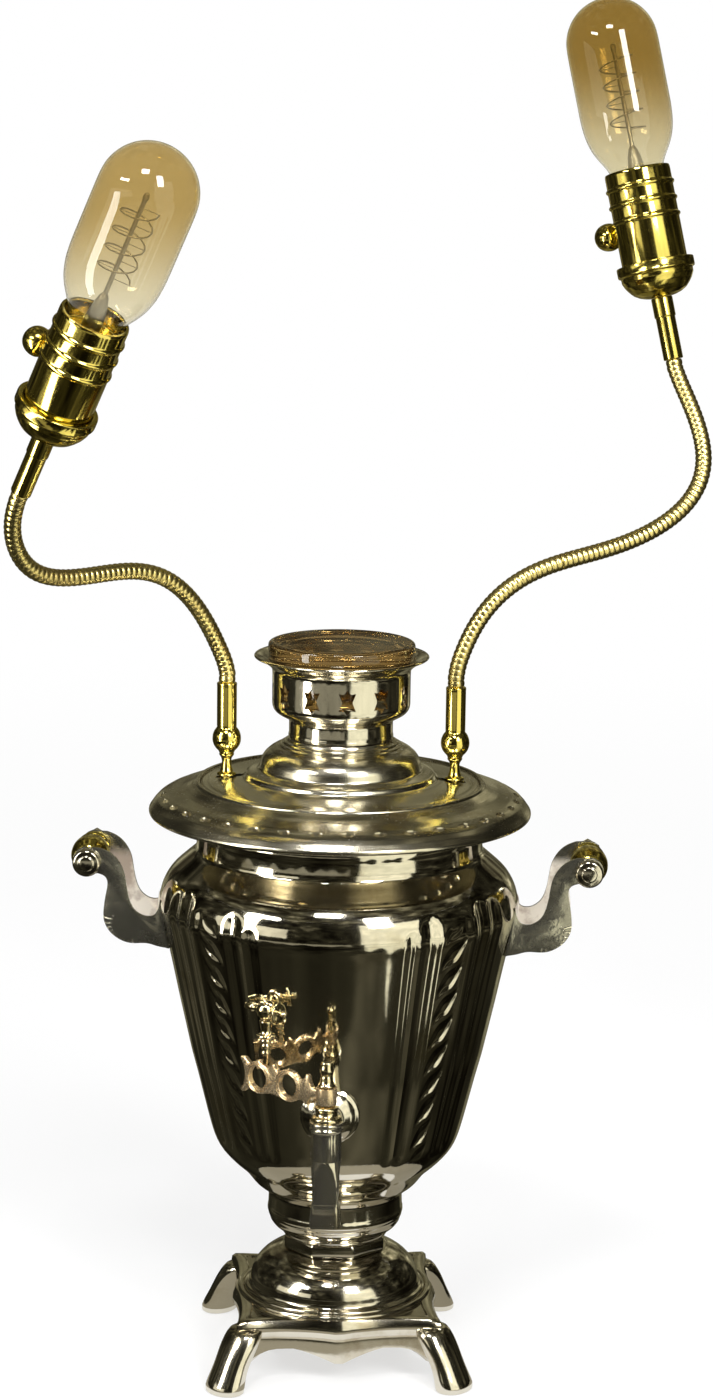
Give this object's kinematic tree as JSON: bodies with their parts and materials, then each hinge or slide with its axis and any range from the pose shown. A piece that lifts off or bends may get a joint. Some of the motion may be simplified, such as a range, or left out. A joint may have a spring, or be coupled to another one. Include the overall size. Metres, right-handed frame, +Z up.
{
  "type": "table lamp",
  "caption": "Samovar-shaped table lamp: urn body on a four-legged foot, tap with a turning key, carrying handles, and bending arms with lamp heads on the lid.",
  "frame": {"origin": "on the floor below the middle of the whole object's bounding box", "axes": "+Z up, the tap points towards -Y, the arm on the viewer's left stands towards -X"},
  "size_m": [0.3328, 0.2842, 0.668],
  "materials": {
    "nickel": "polished nickel plate, a little worn",
    "steel": "plain zinc-plated steel",
    "lamp_brass": "polished brass",
    "rosy_brass": "worn rosy brass",
    "amber_glass": "clear amber glass",
    "smoky_glass": "clear smoky glass",
    "rubber": "matt black rubber",
    "porcelain": "white porcelain"
  },
  "bodies": {
    "stand": {"foot_casting": "nickel", "cord_bush": "rubber", "pedestal_bell": "nickel", "waist_nut": "nickel", "collar_drum": "nickel", "tie_rod": "steel", "base_nut": "steel", "tank_nut": "steel", "body_shell": "nickel", "heater_ring": "steel", "brim_tray": "nickel", "tap_body": "nickel", "tap_escutcheon": "nickel", "tap_gasket": "rubber", "tap_lock_nut": "lamp_brass", "handle_bracket_left": "nickel", "handle_grip_left": "lamp_brass", "grip_bolt_left": "nickel", "grip_nut_left": "nickel", "handle_bracket_right": "nickel", "handle_grip_right": "lamp_brass", "grip_bolt_right": "nickel", "grip_nut_right": "nickel"},
    "tap_key": {"tap_plug": "lamp_brass", "key_plate": "rosy_brass", "key_post": "lamp_brass", "key_knob": "lamp_brass"},
    "lid": {"lid_cover": "nickel", "crown": "nickel", "crown_bolt": "steel", "crown_nut": "steel", "lid_nipple_left": "lamp_brass", "nipple_nut_left": "lamp_brass", "lid_nipple_right": "lamp_brass", "nipple_nut_right": "lamp_brass"},
    "amber_glass": {"amber_disc": "amber_glass"},
    "arm_foot_left": {"arm_ball_left": "lamp_brass", "neck_lower_left": "lamp_brass"},
    "arm_left": {"neck_mid_left": "lamp_brass", "neck_upper_left": "lamp_brass"},
    "head_left": {"upper_ferrule_left": "lamp_brass", "socket_cap_left": "lamp_brass", "socket_shell_left": "lamp_brass", "socket_core_left": "porcelain"},
    "switch_left": {"switch_knob_left": "lamp_brass"},
    "bulb_left": {"bulb_glass_left": "smoky_glass", "bulb_base_left": "lamp_brass", "filament_left": "steel"},
    "arm_foot_right": {"arm_ball_right": "lamp_brass", "neck_lower_right": "lamp_brass"},
    "arm_right": {"neck_mid_right": "lamp_brass", "neck_upper_right": "lamp_brass"},
    "head_right": {"upper_ferrule_right": "lamp_brass", "socket_cap_right": "lamp_brass", "socket_shell_right": "lamp_brass", "socket_core_right": "porcelain"},
    "switch_right": {"switch_knob_right": "lamp_brass"},
    "bulb_right": {"bulb_glass_right": "smoky_glass", "bulb_base_right": "lamp_brass", "filament_right": "steel"}
  },
  "joints": [
    {"name": "tap_turn", "type": "hinge", "parent": "stand", "child": "tap_key", "pos_m": [-0.01339, -0.08471, 0.144], "axis": [0, 0, 1], "range_deg": [0, 90]},
    {"name": "lid_lift", "type": "slide", "parent": "stand", "child": "lid", "axis": [0, 0, 1], "range_m": [0, 0.06]},
    {"name": "glass_lift", "type": "slide", "parent": "lid", "child": "amber_glass", "axis": [0, 0, 1], "range_m": [0, 0.03]},
    {"name": "arm_swing_left", "type": "hinge", "parent": "lid", "child": "arm_foot_left", "pos_m": [-0.06889, 0.01979, 0.30429], "axis": [0, 0, 1], "range_deg": [-45, 45]},
    {"name": "neck_bend_left", "type": "hinge", "parent": "arm_foot_left", "child": "arm_left", "pos_m": [-0.07841, 0.0121, 0.37128], "axis": [0.6235, -0.7818, 0], "range_deg": [-15, 15], "deforming": ["neck_lower_left"]},
    {"name": "head_tilt_left", "type": "hinge", "parent": "arm_left", "child": "head_left", "pos_m": [-0.15994, -0.05677, 0.40994], "axis": [0.6006, 0.7995, 0], "range_deg": [-25, 25], "deforming": ["neck_upper_left"]},
    {"name": "switch_turn_left", "type": "hinge", "parent": "head_left", "child": "switch_left", "pos_m": [-0.12999, -0.09198, 0.50011], "axis": [-0.7154, 0.4956, 0.4926], "continuous": true},
    {"name": "bulb_out_left", "type": "slide", "parent": "head_left", "child": "bulb_left", "axis": [0.394, -0.296, 0.8701], "range_m": [0, 0.04]},
    {"name": "arm_swing_right", "type": "hinge", "parent": "lid", "child": "arm_foot_right", "pos_m": [0.04211, 0.01979, 0.30429], "axis": [0, 0, 1], "range_deg": [-45, 45]},
    {"name": "neck_bend_right", "type": "hinge", "parent": "arm_foot_right", "child": "arm_right", "pos_m": [0.0566, 0.02536, 0.37853], "axis": [-0.408, 0.913, 0], "range_deg": [-15, 15], "deforming": ["neck_lower_right"]},
    {"name": "head_tilt_right", "type": "hinge", "parent": "arm_right", "child": "head_right", "pos_m": [0.16158, 0.08074, 0.45147], "axis": [-0.6024, -0.7982, 0], "range_deg": [-25, 25], "deforming": ["neck_upper_right"]},
    {"name": "switch_turn_right", "type": "hinge", "parent": "head_right", "child": "switch_right", "pos_m": [0.13168, 0.10448, 0.55619], "axis": [-0.7905, 0.5519, -0.2655], "continuous": true},
    {"name": "bulb_out_right", "type": "slide", "parent": "head_right", "child": "bulb_right", "axis": [-0.212, 0.16, 0.9641], "range_m": [0, 0.04]}
  ]
}
